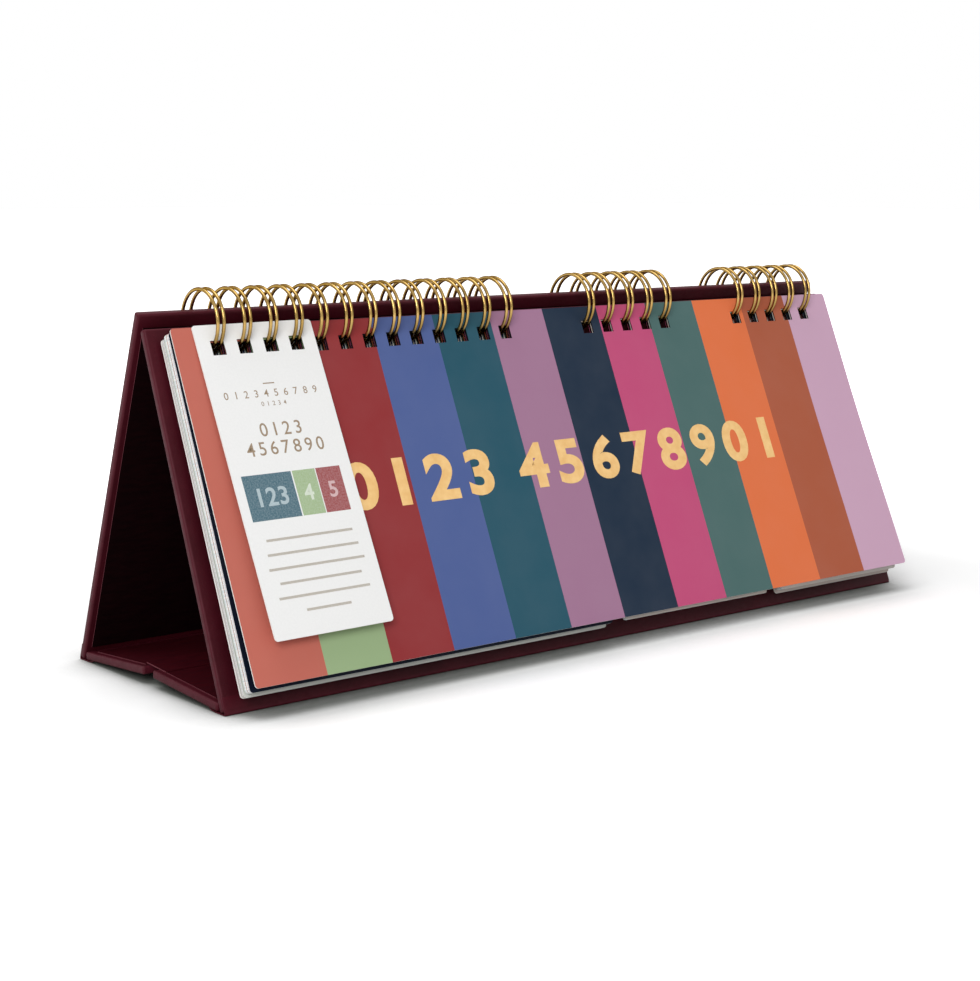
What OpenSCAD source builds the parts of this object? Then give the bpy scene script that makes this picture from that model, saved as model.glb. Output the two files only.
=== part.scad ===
// Perpetual desk calendar: a tent easel of covered boards with loose number
// cards on three lengths of double-loop wire.
// X runs along the calendar, Y from its front to its back, Z is up.
// The origin is on the desk, under the middle of the whole calendar.

/* [Wire binding] */
// Distance between two neighbouring holes
hole_pitch = 8.467; // [7.5:0.1:10]
// Loops that carry the month leaves
month_loops = 13; // [9:1:15]
// Loops that carry the tens leaves
tens_loops = 5; // [3:1:6]
// Loops that carry the ones leaves
ones_loops = 5; // [3:1:6]
// Hole places left empty between two blocks of leaves
empty_places = 3; // [3:1:4]
// Side of a square punched hole
hole_size = 4.2; // [3.8:0.1:5]
// Distance from the top edge of the cover and label to the middle of their holes
hole_inset = 6.7; // [5:0.1:8]
// Distance from a leaf's top edge to the middle of its holes
leaf_inset = 6; // [5:0.1:8]
// Mean radius of a wire loop
loop_r = 9.17; // [8.6:0.1:11]
// Height of the loops' centre above the desk
loop_height = 100.3; // [84:0.5:121]
// Thickness of the wire
wire_d = 1; // [0.8:0.1:1.2]
// Distance between the two loops of a pair
pair_gap = 2.3; // [1.9:0.1:2.6]
// How much thicker the wire gets where it is bent sharply
bend_swell = 1.04; // [1.02:0.01:1.08]

/* [Easel] */
// Length of every board
board_w = 272; // [262:1:340]
// Thickness of a board with its skin
board_t = 2.4; // [2:0.1:2.9]
// Thickness of the skin around a board
skin_t = 0.3; // [0.2:0.05:0.4]
// Radius of a board's long edges
board_edge_r = 0.7; // [0.5:0.1:0.9]
// Thickness of a lining sheet
lining_t = 0.2; // [0.15:0.05:0.3]
// Lining sheet's distance from the ends of its board
lining_side = 2; // [1:0.5:5]
// Lining sheet's distance from the long edges of its board
lining_border = 4; // [3.5:0.5:6]
// Lean of the front board from upright
front_lean = 20.8; // [18:0.1:25]
// Lean of the back board from upright
back_lean = 19.6; // [16:0.1:24]
// Front board's face, measured back from the loops' centre
face_depth = 2.3; // [1.9:0.1:2.8]
// Front board's top edge, measured down from the loops' centre
front_top_drop = 0.56; // [0:0.1:1.5]
// Back board's top edge, measured up from the loops' centre
back_top_rise = 0.63; // [0:0.1:1.5]
// Gap between the boards where they would lie flat on each other
apex_clear = 0.35; // [0.25:0.05:0.6]
// Thickness of the skin under the front and rear creases
foot_t = 0.3; // [0.2:0.05:0.4]
// How far the skin of a crease reaches in under the base
foot_reach = 2.5; // [2:0.1:4]
// Clearance of a folding board from the piece that it folds past
fold_clear = 0.15; // [0.1:0.05:0.3]
// Gap between the two halves of the base
crease_gap = 5; // [4:0.1:6.5]
// Height of the base's underside at its middle crease
crease_rise = 2.9; // [2.5:0.1:4]
// Thickness of the strip over the middle crease
crease_t = 0.3; // [0.2:0.05:0.4]
// How far the strip lies on the front half of the base
crease_lap = 4; // [2:0.5:6]
// How far the strip reaches over the back half of the base
crease_over = 1.5; // [1:0.1:2]
// How far the back board can close, in degrees
fold_angle = 10; // [4:1:10]

/* [Cards] */
// Leaves in the month block
month_leaves = 12; // [12:1:13]
// Leaves in the tens block
tens_leaves = 4; // [4:1:5]
// Leaves in the ones block
ones_leaves = 10; // [9:1:10]
// Thickness of a leaf
leaf_t = 0.27; // [0.2:0.01:0.4]
// Air between two neighbouring cards
leaf_gap = 0.1; // [0.08:0.01:0.16]
// Air between the front board and the rearmost leaf, level with the loops' centre
stack_clear = 1.2; // [0.2:0.1:1.6]
// How much more the rearmost leaf leans than the front board
block_lift = 1; // [0.2:0.1:2]
// Height of a leaf
leaf_h = 98.5; // [82:0.1:99]
// Width of a month leaf
month_leaf_w = 129.2; // [120:0.1:130]
// Width of a tens leaf
tens_leaf_w = 63.2; // [50:0.1:66]
// Width of a ones leaf
ones_leaf_w = 58; // [50:0.1:60]
// Corner radius of a leaf
leaf_corner_r = 1; // [0.5:0.5:4]
// Width of the striped cover card
cover_w = 263.6; // [250:0.1:300]
// Height of the cover card
cover_h = 98.8; // [82:0.1:100]
// Thickness of the cover card
cover_t = 0.35; // [0.3:0.01:0.42]
// Corner radius of the cover card
cover_corner_r = 1; // [0.5:0.5:6]
// Lean of the cover card from upright
cover_lean = 23.6; // [22:0.1:28]
// Loops that carry the hanging label
label_loops = 4; // [3:1:6]
// Width of the label
label_w = 38.6; // [32:0.1:60]
// Height of the label
label_h = 88.5; // [70:0.1:98]
// Thickness of the label
label_t = 0.35; // [0.3:0.01:0.42]
// Corner radius of the label
label_corner_r = 1; // [0.5:0.5:6]
// How much more the label leans than the cover behind it
label_lift = 2; // [1:0.1:4]
// Gap between the wire and the upper edge of every card's holes
hang_clear = 0.4; // [0.3:0.05:0.6]

/* [Hidden] */
$fn = 48;

// Places along the binding, counted from the left
tens_first = month_loops + empty_places;
ones_first = tens_first + tens_loops + empty_places;
place_count = ones_first + ones_loops;
function hole_x(place) = (place - (place_count - 1) / 2) * hole_pitch;
function block_places(first, loops) = [for (i = [0 : loops - 1]) first + i];
function block_x(first, loops) = (hole_x(first) + hole_x(first + loops - 1)) / 2;
month_places = block_places(0, month_loops);
tens_places = block_places(tens_first, tens_loops);
ones_places = block_places(ones_first, ones_loops);
all_places = concat(month_places, tens_places, ones_places);

// Depths measured from the loops' centre, square to the board or card
back_depth = face_depth + board_t + apex_clear;
leaf_pitch = leaf_t + leaf_gap;
cover_depth = month_leaves * leaf_pitch + stack_clear + cover_t - face_depth;
label_depth = cover_depth + leaf_gap + label_t;
// Slot 1 of the stack is right behind the cover, the last one next to the board
function leaf_depth(slot) = cover_depth - cover_t - leaf_gap - (slot - 1) * leaf_pitch;
function leaf_lean(slot) =
    cover_lean + (front_lean + block_lift - cover_lean) * slot / month_leaves;

// Cards hang on the inside of the loops, each by the upper edge of its holes,
// so a card in the middle of the stack, where the loops are lowest, hangs lowest
function card_hole_drop(depth, t) =
    sqrt(pow(loop_r - wire_d / 2 - hang_clear, 2) - pow(max(abs(depth), abs(depth - t)), 2))
    + hole_size / 2;
function card_top_drop(depth, t, inset) = card_hole_drop(depth, t) - inset;

// Board holes: as tall as the wire's curved way through the board needs, from
// its inner side at the board's rear face to its outer side at the front face
function wire_top(depth) = sqrt(pow(loop_r - wire_d / 2, 2) - pow(depth + board_t, 2));
function wire_bottom(depth) = sqrt(pow(loop_r + wire_d / 2, 2) - pow(depth, 2));
wire_clear = 0.2;
function board_hole_h(depth) =
    max(hole_size, wire_bottom(depth) - wire_top(depth) + 2 * wire_clear);
function board_hole_drop(depth) = (wire_bottom(depth) + wire_top(depth)) / 2;

// Side view: a point at (y, z) in a frame that leans about the loops' centre
function side_y(lean, y, z) = y * cos(lean) + z * sin(lean);
function side_z(lean, y, z) = loop_height - y * sin(lean) + z * cos(lean);

// Both boards end where their lowest edge meets the skin on the desk
front_rear_depth = face_depth + board_t;
front_bottom = -(loop_height - foot_t - front_rear_depth * sin(front_lean)) / cos(front_lean);
back_bottom = -(loop_height - foot_t + back_depth * sin(back_lean)) / cos(back_lean);

// The loops' centre is placed so that the whole calendar is centred on Y = 0
function card_reach(lean, depth, t, h, inset) =
    side_y(lean, -depth, -card_top_drop(depth, t, inset) - h);
cover_reach = card_reach(cover_lean, cover_depth, cover_t, cover_h, hole_inset);
label_reach = card_reach(cover_lean + label_lift, label_depth, label_t, label_h, hole_inset);
leaf_reach = card_reach(leaf_lean(1), leaf_depth(1), leaf_t, leaf_h, leaf_inset);
board_reach = side_y(front_lean, face_depth, front_bottom);
front_reach = min(cover_reach, label_reach, leaf_reach, board_reach);
back_reach = side_y(-back_lean, back_depth + board_t, back_bottom);
loop_y = -(front_reach + back_reach) / 2;

// Hinge lines of the base, on the inner faces of the two boards
hinge_z = foot_t + fold_clear + board_t;
function face_y(lean, depth, height) =
    loop_y + side_y(lean, depth, (height - loop_height + depth * sin(lean)) / cos(lean));
front_hinge_y = face_y(front_lean, front_rear_depth, hinge_z);
back_hinge_y = face_y(-back_lean, back_depth, hinge_z);
half_span = (back_hinge_y - front_hinge_y) / 2;
base_slope = atan2(crease_rise + board_t - hinge_z, half_span);
half_len = half_span / cos(base_slope);
base_end = half_len - crease_gap / 2;

// Ends of the wire inside the tent: closed tips in front, links behind. The
// links stay clear of the back board's lining when the easel closes.
bent_wire_d = wire_d * bend_swell;
end_clear_angle = 1.5;
link_room = back_depth - lining_t - bent_wire_d / 2 - fold_clear;
tip_angle = asin(front_rear_depth / loop_r) - front_lean + end_clear_angle;
link_angle = asin(link_room / loop_r) + back_lean - fold_angle - end_clear_angle;
// How far a link runs on into the two loops that it joins
link_bite = wire_d / 4;

skin_color = "#5A1F28";
board_color = "#8C8780";
lining_color = "#3E0D14";
wire_color = "#C9A45C";
paper_color = "#F3F1EC";
navy = "#25354A";
stripe_colors = [
    "#BE6A5C", "#97AE83", "#8F3A3C", "#52639A", "#2D5A69", "#A17893",
    "#25354A", "#BE517A", "#4F6D6B", "#DE7346", "#AA5B43", "#C9A3BB"
];

month_names = [for (i = [1 : month_leaves]) str("month_leaf_", i)];
tens_names = [for (i = [1 : tens_leaves]) str("tens_leaf_", i)];
ones_names = [for (i = [1 : ones_leaves]) str("ones_leaf_", i)];

// Children lean about the line through the middle of all loops
module leaning(lean) {
    translate([0, loop_y, loop_height])
        rotate([-lean, 0, 0])
            children();
}

// Rectangle with round corners, centred on X, hanging down from its top edge
module sheet_outline(w, h, r) {
    translate([-w / 2 + r, -h]) square([w - 2 * r, h]);
    translate([-w / 2, -h + r]) square([w, h - 2 * r]);
    for (x = [-1, 1], y = [-r, -h + r])
        translate([x * (w / 2 - r), y]) circle(r);
}

// Square holes through everything between two depths
module hole_row(places, drop, h, depth, t) {
    for (place = places)
        translate([hole_x(place) - hole_size / 2, depth - 1, -drop - h / 2])
            cube([hole_size, t + 2, h]);
}

// Board seen from its end: a flat bar with rounded long edges
module bar_profile(depth, t, top, bottom, r) {
    translate([depth + r, bottom]) square([t - 2 * r, top - bottom]);
    translate([depth, bottom + r]) square([t, top - bottom - 2 * r]);
    for (y = [depth + r, depth + t - r], z = [bottom + r, top - r])
        translate([y, z]) circle(r);
}

module along_x(w) {
    translate([-w / 2, 0, 0])
        rotate([90, 0, 90])
            linear_extrude(w) children();
}

module bar(w, depth, t, top, bottom, r) {
    along_x(w) bar_profile(depth, t, top, bottom, r);
}

// Solid bar of grey board inside the skin
module core_bar(depth, top, bottom) {
    translate([-board_w / 2 + skin_t, depth + skin_t, bottom + skin_t])
        cube([board_w - 2 * skin_t, board_t - 2 * skin_t, top - bottom - 2 * skin_t]);
}

module skin_bar(depth, top, bottom) {
    difference() {
        bar(board_w, depth, board_t, top, bottom, board_edge_r);
        core_bar(depth, top, bottom);
    }
}

module lining_sheet(depth, top, bottom) {
    lining_w = board_w - 2 * lining_side;
    translate([-lining_w / 2, depth, bottom])
        cube([lining_w, lining_t, top - bottom]);
}

module board_holes(depth) {
    hole_row(all_places, board_hole_drop(depth), board_hole_h(depth), depth, board_t);
}

module front_core() color(board_color) leaning(front_lean) difference() {
    core_bar(face_depth, -front_top_drop, front_bottom);
    board_holes(face_depth);
}

module front_skin() color(skin_color) leaning(front_lean) difference() {
    skin_bar(face_depth, -front_top_drop, front_bottom);
    board_holes(face_depth);
}

module front_lining() color(lining_color) leaning(front_lean) difference() {
    lining_sheet(front_rear_depth, -front_top_drop - lining_border, front_bottom + lining_border);
    board_holes(face_depth);
}

module back_core() color(board_color) leaning(-back_lean) difference() {
    core_bar(back_depth, back_top_rise, back_bottom);
    board_holes(back_depth);
}

module back_skin() color(skin_color) leaning(-back_lean) difference() {
    skin_bar(back_depth, back_top_rise, back_bottom);
    board_holes(back_depth);
}

module back_lining() color(lining_color) leaning(-back_lean) difference() {
    lining_sheet(back_depth - lining_t, back_top_rise - lining_border, back_bottom + lining_border);
    board_holes(back_depth);
}

// Skin that closes the corner under a board: it fills the wedge below the
// board's square end and runs a little way in under the base.
// side is 1 for the front crease and -1 for the rear one.
module crease_profile(lean, outer_depth, inner_depth, bottom, side) {
    outer = [loop_y + side_y(lean, outer_depth, bottom), side_z(lean, outer_depth, bottom)];
    inner = [loop_y + side_y(lean, inner_depth, bottom), side_z(lean, inner_depth, bottom)];
    polygon([
        outer,
        inner,
        [inner[0] + side * foot_reach, foot_t],
        [inner[0] + side * foot_reach, 0],
        [outer[0] + side * foot_t, 0],
        [outer[0], foot_t]
    ]);
}

module front_crease() color(skin_color) along_x(board_w)
    crease_profile(front_lean, face_depth, front_rear_depth, front_bottom, 1);

module rear_crease() color(skin_color) along_x(board_w)
    crease_profile(-back_lean, back_depth + board_t, back_depth, back_bottom, -1);

// Half of the base lies in a frame at its hinge line, with its top face on
// the hinge line and Y pointing to the middle crease
module at_front_hinge() {
    translate([0, front_hinge_y, hinge_z])
        rotate([base_slope, 0, 0])
            children();
}

module at_back_hinge() {
    translate([0, back_hinge_y, hinge_z])
        rotate([-base_slope, 0, 0])
            mirror([0, 1, 0])
                children();
}

module base_core() {
    translate([-board_w / 2 + skin_t, 2 * fold_clear + skin_t, -board_t + skin_t])
        cube([board_w - 2 * skin_t, base_end - 2 * fold_clear - 2 * skin_t, board_t - 2 * skin_t]);
}

module base_skin() {
    difference() {
        bar(board_w, 2 * fold_clear, base_end - 2 * fold_clear, 0, -board_t, board_edge_r);
        base_core();
    }
}

module base_lining(far) {
    lining_w = board_w - 2 * lining_side;
    translate([-lining_w / 2, lining_border, 0])
        cube([lining_w, far - lining_border, lining_t]);
}

module base_front_core() color(board_color) at_front_hinge() base_core();
module base_front_skin() color(skin_color) at_front_hinge() base_skin();
module base_front_lining() color(lining_color) at_front_hinge()
    base_lining(base_end - crease_lap - 2 * fold_clear);
module base_back_core() color(board_color) at_back_hinge() base_core();
module base_back_skin() color(skin_color) at_back_hinge() base_skin();
module base_back_lining() color(lining_color) at_back_hinge()
    base_lining(base_end - crease_over - 4 * fold_clear);

// Strip that bridges the groove between the two halves of the base
module middle_crease() color(lining_color) at_front_hinge() {
    strip_w = board_w - 2 * lining_side;
    translate([-strip_w / 2, base_end - crease_lap, 0])
        cube([strip_w, crease_lap + crease_gap + crease_over, crease_t]);
}

// A point on the loops: angle 0 is straight below their centre, and Y there
// runs on along the loop towards the back
module on_loop(angle) {
    translate([0, loop_y, loop_height])
        rotate([angle, 0, 0])
            translate([0, 0, -loop_r])
                children();
}

// Wire bent about the local Z axis, from the +X side anticlockwise
module bend(r, angle) {
    rotate_extrude(angle = angle)
        translate([r, 0])
            circle(d = wire_d);
}

// One loop, open between the tip and the link inside the tent
module open_loop() {
    translate([0, loop_y, loop_height])
        rotate([0, 90, 0])
            rotate([0, 0, link_angle])
                bend(loop_r, 360 + tip_angle - link_angle);
}

// Two loops joined by a round tip, like a hairpin bent into a ring
module loop_pair() {
    for (side = [-1, 1])
        translate([side * pair_gap / 2, 0, 0]) {
            open_loop();
            on_loop(tip_angle) sphere(d = bent_wire_d);
        }
    on_loop(tip_angle) bend(pair_gap / 2, 180);
}

// Straight piece of wire from one pair to the next
module pair_link() {
    on_loop(link_angle)
        translate([pair_gap / 2 - link_bite, 0, 0])
            rotate([0, 90, 0])
                cylinder(d = bent_wire_d, h = hole_pitch - pair_gap + 2 * link_bite);
}

module wire(places) {
    color(wire_color) {
        for (place = places)
            translate([hole_x(place), 0, 0]) loop_pair();
        for (i = [0 : len(places) - 2])
            translate([hole_x(places[i]), 0, 0]) pair_link();
    }
}

module month_wire() wire(month_places);
module tens_wire() wire(tens_places);
module ones_wire() wire(ones_places);

// A card hangs in a leaning frame with its front face at the given depth in
// front of the loops' centre, centred on x
module card(lean, depth, x, w, h, t, r, inset, places) {
    leaning(lean) difference() {
        translate([x, t - depth, -card_top_drop(depth, t, inset)])
            rotate([90, 0, 0])
                linear_extrude(t) sheet_outline(w, h, r);
        hole_row(places, card_hole_drop(depth, t), hole_size, -depth, t);
    }
}

module cover_card() color(stripe_colors[2])
    card(cover_lean, cover_depth, 0, cover_w, cover_h, cover_t, cover_corner_r,
         hole_inset, all_places);

module label_card() color(paper_color)
    card(cover_lean + label_lift, label_depth, block_x(0, label_loops), label_w, label_h,
         label_t, label_corner_r, hole_inset, block_places(0, label_loops));

// Leaf in one slot of the stack. Each block starts right behind the cover.
module leaf(slot, first, loops, w) {
    card(leaf_lean(slot), leaf_depth(slot), block_x(first, loops), w, leaf_h, leaf_t,
         leaf_corner_r, leaf_inset, block_places(first, loops));
}

module month_leaf(i) {
    color(i == 1 ? navy : stripe_colors[(i - 1) % 12])
        leaf(i, 0, month_loops, month_leaf_w);
}

module tens_leaf(i) {
    color(stripe_colors[(i + 7) % 12])
        leaf(i, tens_first, tens_loops, tens_leaf_w);
}

module ones_leaf(i) {
    color(stripe_colors[(i + 1) % 12])
        leaf(i, ones_first, ones_loops, ones_leaf_w);
}

front_core();
front_skin();
front_lining();
front_crease();
back_core();
back_skin();
back_lining();
rear_crease();
base_front_core();
base_front_skin();
base_front_lining();
middle_crease();
base_back_core();
base_back_skin();
base_back_lining();
month_wire();
tens_wire();
ones_wire();
cover_card();
label_card();
for (i = [1 : month_leaves])
    month_leaf(i);
for (i = [1 : tens_leaves])
    tens_leaf(i);
for (i = [1 : ones_leaves])
    ones_leaf(i);
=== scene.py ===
# %% [markdown]
# # A perpetual desk calendar
# Loose number leaves hang on gold wire loops in front of a tent of covered
# boards. A striped cover card and a small label hang in front of them.
# The engineering model already fixes every size and every joint, so this
# lesson only dresses it: each cell makes one piece or one finish, and then
# tells the frame which moving body that piece belongs to.

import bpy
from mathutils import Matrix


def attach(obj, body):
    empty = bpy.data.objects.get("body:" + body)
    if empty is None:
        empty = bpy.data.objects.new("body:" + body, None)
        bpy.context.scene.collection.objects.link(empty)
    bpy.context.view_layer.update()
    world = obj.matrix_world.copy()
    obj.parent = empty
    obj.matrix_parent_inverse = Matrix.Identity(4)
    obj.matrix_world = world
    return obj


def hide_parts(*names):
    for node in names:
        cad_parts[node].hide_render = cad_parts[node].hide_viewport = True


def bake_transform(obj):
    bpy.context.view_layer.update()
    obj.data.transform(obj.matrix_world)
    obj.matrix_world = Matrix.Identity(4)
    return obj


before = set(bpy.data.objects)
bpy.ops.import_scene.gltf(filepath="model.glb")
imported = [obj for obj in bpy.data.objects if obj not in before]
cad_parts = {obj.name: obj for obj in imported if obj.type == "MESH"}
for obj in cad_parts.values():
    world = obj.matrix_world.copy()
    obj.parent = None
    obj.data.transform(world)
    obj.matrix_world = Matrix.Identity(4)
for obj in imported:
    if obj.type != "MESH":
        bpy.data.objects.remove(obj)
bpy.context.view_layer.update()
print("frame opened with", len(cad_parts), "CAD nodes")

# %% [markdown]
# ## Blender's own tools
# The pieces could be modelled by hand in the window, but a script can be read
# and run again. Its bmesh module adds and bevels faces one by one, and
# mathutils has the vectors and matrices that say where a piece stands.

# %% Bring in Blender's own tools
import math
import random

import bmesh
import bpy
from mathutils import Matrix, Vector

MM = 0.001
UPRIGHT = Matrix.Identity(4)
print("lengths below are in millimetres")

# %% [markdown]
# ## The sizes that the pieces share
# Everything on this calendar lines up with one row of holes, three to the
# inch, and leans about one line: the middle of the wire loops. Naming these
# once lets every later cell speak about the same holes and the same line.

# %% Name the shared sizes
HOLE_PITCH = 8.467
HOLE_SIZE = 4.2
LOOP_R = 9.17
LOOP_Y = 0.4137
LOOP_HEIGHT = 100.3
WIRE_D = 1.0
HANG_GAP = 0.4
MONTH_PLACES = list(range(0, 13))
TENS_PLACES = list(range(16, 21))
ONES_PLACES = list(range(24, 29))
ALL_PLACES = MONTH_PLACES + TENS_PLACES + ONES_PLACES
CARD_HOLE_INSET = 6.7
LEAF_HOLE_INSET = 6.0

def hole_x(place):
    """Distance of a hole from the middle of the calendar."""
    return (place - 14) * HOLE_PITCH

def leaning(lean):
    """Frame of a card or board that leans about the loops' centre."""
    centre = Matrix.Translation((0, LOOP_Y * MM, LOOP_HEIGHT * MM))
    return centre @ Matrix.Rotation(-math.radians(lean), 4, "X")

def smooth_step(value, low, high):
    """0 below low, 1 above high, and a smooth ramp between them."""
    s = min(1.0, max(0.0, (value - low) / (high - low)))
    return s * s * (3 - 2 * s)

def shift(x, y, z):
    """A move given in millimetres."""
    return Matrix.Translation((x * MM, y * MM, z * MM))

def card_top(depth, thick, inset):
    """How far under the loops' centre a card's top edge is when it hangs."""
    inner = LOOP_R - WIRE_D / 2 - HANG_GAP
    deepest = max(abs(depth), abs(depth - thick))
    return math.sqrt(inner**2 - deepest**2) + HOLE_SIZE / 2 - inset

print("holes run from", round(hole_x(0), 1), "to", round(hole_x(28), 1), "mm")

# %% [markdown]
# ## A short hand for materials
# A Blender material is a small graph of nodes. Written out in full, every
# link takes a line. Helpers keep the graphs readable: one adds a node and
# fills its sockets, one starts a material with the Principled shader, and the
# others each make one step that most finishes here need.

# %% Write the material helpers
def fill(tree, node, inputs):
    """Fill sockets; each value may be a plain one or another node's socket."""
    for key, value in inputs.items():
        if isinstance(value, bpy.types.NodeSocket):
            tree.links.new(value, node.inputs[key])
        else:
            node.inputs[key].default_value = value

def add(tree, kind, inputs=None, **settings):
    """Add one node with its settings and its filled sockets."""
    made = tree.nodes.new(kind)
    for key, value in settings.items():
        setattr(made, key, value)
    fill(tree, made, inputs or {})
    return made

def colour(code):
    """A web colour such as 5A1F28 as the linear values that a shader wants."""
    parts = [int(code[i : i + 2], 16) / 255 for i in (0, 2, 4)]
    lin = [c / 12.92 if c <= 0.04045 else ((c + 0.055) / 1.055) ** 2.4 for c in parts]
    return (*lin, 1)

def paler(code, share):
    """The same colour with a share of white in it."""
    parts = [int(code[i : i + 2], 16) for i in (0, 2, 4)]
    return "".join(f"{round(c + (240 - c) * share):02X}" for c in parts)

def new_finish(name):
    """A new material, its node tree and its Principled shader."""
    finish = bpy.data.materials.new(name)
    finish.use_nodes = True
    tree = finish.node_tree
    return finish, tree, tree.nodes["Principled BSDF"]

def own_place(tree):
    """Where a point lies in its piece's own axes, in metres."""
    return add(tree, "ShaderNodeTexCoord").outputs["Object"]

def maths(tree, operation, *values):
    """Arithmetic on one or two values, which may be plain numbers or sockets."""
    inputs = dict(enumerate(values))
    return add(tree, "ShaderNodeMath", inputs, operation=operation).outputs[0]

MIX_SHARE, MIX_FIRST, MIX_SECOND, MIX_RESULT = 0, 6, 7, 2

def blend_colours(tree, share, first, second):
    """Mix two colours by a share from 0 to 1 and give the result's socket."""
    inputs = {MIX_SHARE: share, MIX_FIRST: first, MIX_SECOND: second}
    return add(tree, "ShaderNodeMix", inputs, data_type="RGBA").outputs[MIX_RESULT]

def stretch(tree, value, low, high, new_low=0.0, new_high=1.0):
    """Map a range of values to another one, without going beyond its ends."""
    inputs = {"Value": value, "From Min": low, "From Max": high}
    inputs |= {"To Min": new_low, "To Max": new_high}
    return add(tree, "ShaderNodeMapRange", inputs).outputs["Result"]

def speckle(tree, place, scale, detail):
    """Noise whose grains are about 1/scale of a metre wide."""
    inputs = {"Vector": place, "Scale": scale, "Detail": detail, "Roughness": 0.6}
    return add(tree, "ShaderNodeTexNoise", inputs).outputs["Fac"]

def raise_grain(tree, shader, height, depth_mm, strength=1.0, under=None):
    """Turn a height map into a bump that is depth_mm deep."""
    inputs = {"Height": height, "Distance": depth_mm * MM, "Strength": strength}
    if under is not None:
        inputs["Normal"] = under
    bump = add(tree, "ShaderNodeBump", inputs)
    tree.links.new(bump.outputs["Normal"], shader.inputs["Normal"])
    return bump.outputs["Normal"]

def vary_roughness(tree, shader, noise, low, high):
    """Let the roughness run from low to high as the noise rises."""
    tree.links.new(stretch(tree, noise, 0.3, 0.7, low, high), shader.inputs["Roughness"])

print("material helpers ready")

# %% [markdown]
# ## Book cloth
# The boards are wrapped in leatherette: paper-backed vinyl, embossed with a
# fine pebble grain. It could be one dark red, but real cloth is a little
# uneven, its grain catches the light, and where it is pulled round an edge it
# stretches and goes paler. The grain comes from a Voronoi pattern, the
# unevenness from two sizes of noise, and the pale edges from a value that each
# board's mesh carries along its rim. That paleness is partly wear and partly
# a painted highlight on the rounded edges.

# %% Make the book cloth
def make_leatherette():
    finish, tree, shader = new_finish("leatherette_burgundy")
    place = own_place(tree)
    # Pale edge value: the cloth's wear and a painted highlight on the rounded edges.
    wear_and_highlight = add(tree, "ShaderNodeAttribute", attribute_name="wear_and_highlight").outputs["Fac"]
    clouds = speckle(tree, place, 35, 3)
    mottle = speckle(tree, place, 700, 5)
    # The palest tone is for the worn edges and their painted highlight.
    dark, mid, worn_and_lit = colour("34060F"), colour("440C18"), colour("4F1824")
    base = blend_colours(tree, stretch(tree, clouds, 0.35, 0.65), dark, mid)
    base = blend_colours(tree, stretch(tree, mottle, 0.35, 0.7, 0.0, 0.35), base, dark)
    patches = stretch(tree, speckle(tree, place, 260, 6), 0.3, 0.6, 0.3, 0.8)
    base = blend_colours(tree, maths(tree, "MULTIPLY", wear_and_highlight, patches), base, worn_and_lit)
    fill(tree, shader, {"Base Color": base, "Specular IOR Level": 0.13})
    inputs = {"Vector": place, "Scale": 1250.0, "Smoothness": 0.6}
    pebbles = add(tree, "ShaderNodeTexVoronoi", inputs, feature="SMOOTH_F1")
    fine = speckle(tree, place, 3200, 3)
    fine_normal = raise_grain(tree, shader, fine, 0.008, 0.6)
    raise_grain(tree, shader, pebbles.outputs["Distance"], 0.035, 0.55, fine_normal)
    vary_roughness(tree, shader, mottle, 0.42, 0.55)
    return finish

leatherette = make_leatherette()
print("made", leatherette.name)

# %% [markdown]
# ## Lining paper and grey board
# Inside the tent a dark uncoated paper hides the turned-in cloth. On the tall
# boards it is drawn near black, darker than the paper, as painted shade for the
# closed inside of the tent. Its cut edge shows the paler body of the sheet as a
# hair line. The grey board under the cloth is pressed waste paper with dark and
# pale fibres. Both are matte, and both get long fibres from noise that is
# stretched along the sheet.

# %% Make the lining paper and the grey board
def fibres(tree, place, along, across, detail=5.0):
    """Noise stretched along X, which reads as paper fibres."""
    inputs = {"Vector": place, "Scale": (along, across, across)}
    drawn = add(tree, "ShaderNodeMapping", inputs).outputs["Vector"]
    return speckle(tree, drawn, 1.0, detail)

def cut_edge_mask(tree, axis):
    """1 where the surface faces along one of the piece's own axes, else 0."""
    facing = add(tree, "ShaderNodeTexCoord").outputs["Normal"]
    split = add(tree, "ShaderNodeSeparateXYZ", {0: facing}).outputs[axis]
    return stretch(tree, maths(tree, "ABSOLUTE", split), 0.6, 0.8)

def make_lining(name, dark, light):
    finish, tree, shader = new_finish(name)
    place = own_place(tree)
    strands = fibres(tree, place, 180, 900)
    share = stretch(tree, strands, 0.35, 0.7)
    base = blend_colours(tree, share, colour(dark), colour(light))
    base = blend_colours(tree, cut_edge_mask(tree, "X"), base, colour("6E3C44"))
    fill(tree, shader, {"Base Color": base, "Specular IOR Level": 0.05})
    raise_grain(tree, shader, strands, 0.02, 0.5)
    vary_roughness(tree, shader, strands, 0.7, 0.85)
    return finish

def make_greyboard():
    finish, tree, shader = new_finish("grey_board_fibres")
    place = own_place(tree)
    strands = fibres(tree, place, 260, 1400, 7)
    share = stretch(tree, strands, 0.3, 0.7)
    base = blend_colours(tree, share, colour("6C6760"), colour("9A958C"))
    fill(tree, shader, {"Base Color": base, "Roughness": 0.9})
    raise_grain(tree, shader, strands, 0.05, 0.8)
    return finish

# Near black: dark red paper with painted shade for the closed inside of the tent.
lining_paper = make_lining("lining_paper_dark_red_painted_shade", "0A0001", "140103")
base_paper = make_lining("lining_paper_base", "2A0108", "3A040D")
greyboard = make_greyboard()
print("made", lining_paper.name, "and", greyboard.name)

# %% [markdown]
# ## Gold-coloured wire
# The loops are steel wire with a brass-coloured lacquer. A metal has almost no
# colour of its own: what is seen is the room, tinted gold. So the material is
# fully metallic, and its roughness varies a little along fine drawing marks,
# which breaks the reflections up as real wire does. The lacquer is browner
# where it is seen edge on, which the shader's specular tint gives a metal.

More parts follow.
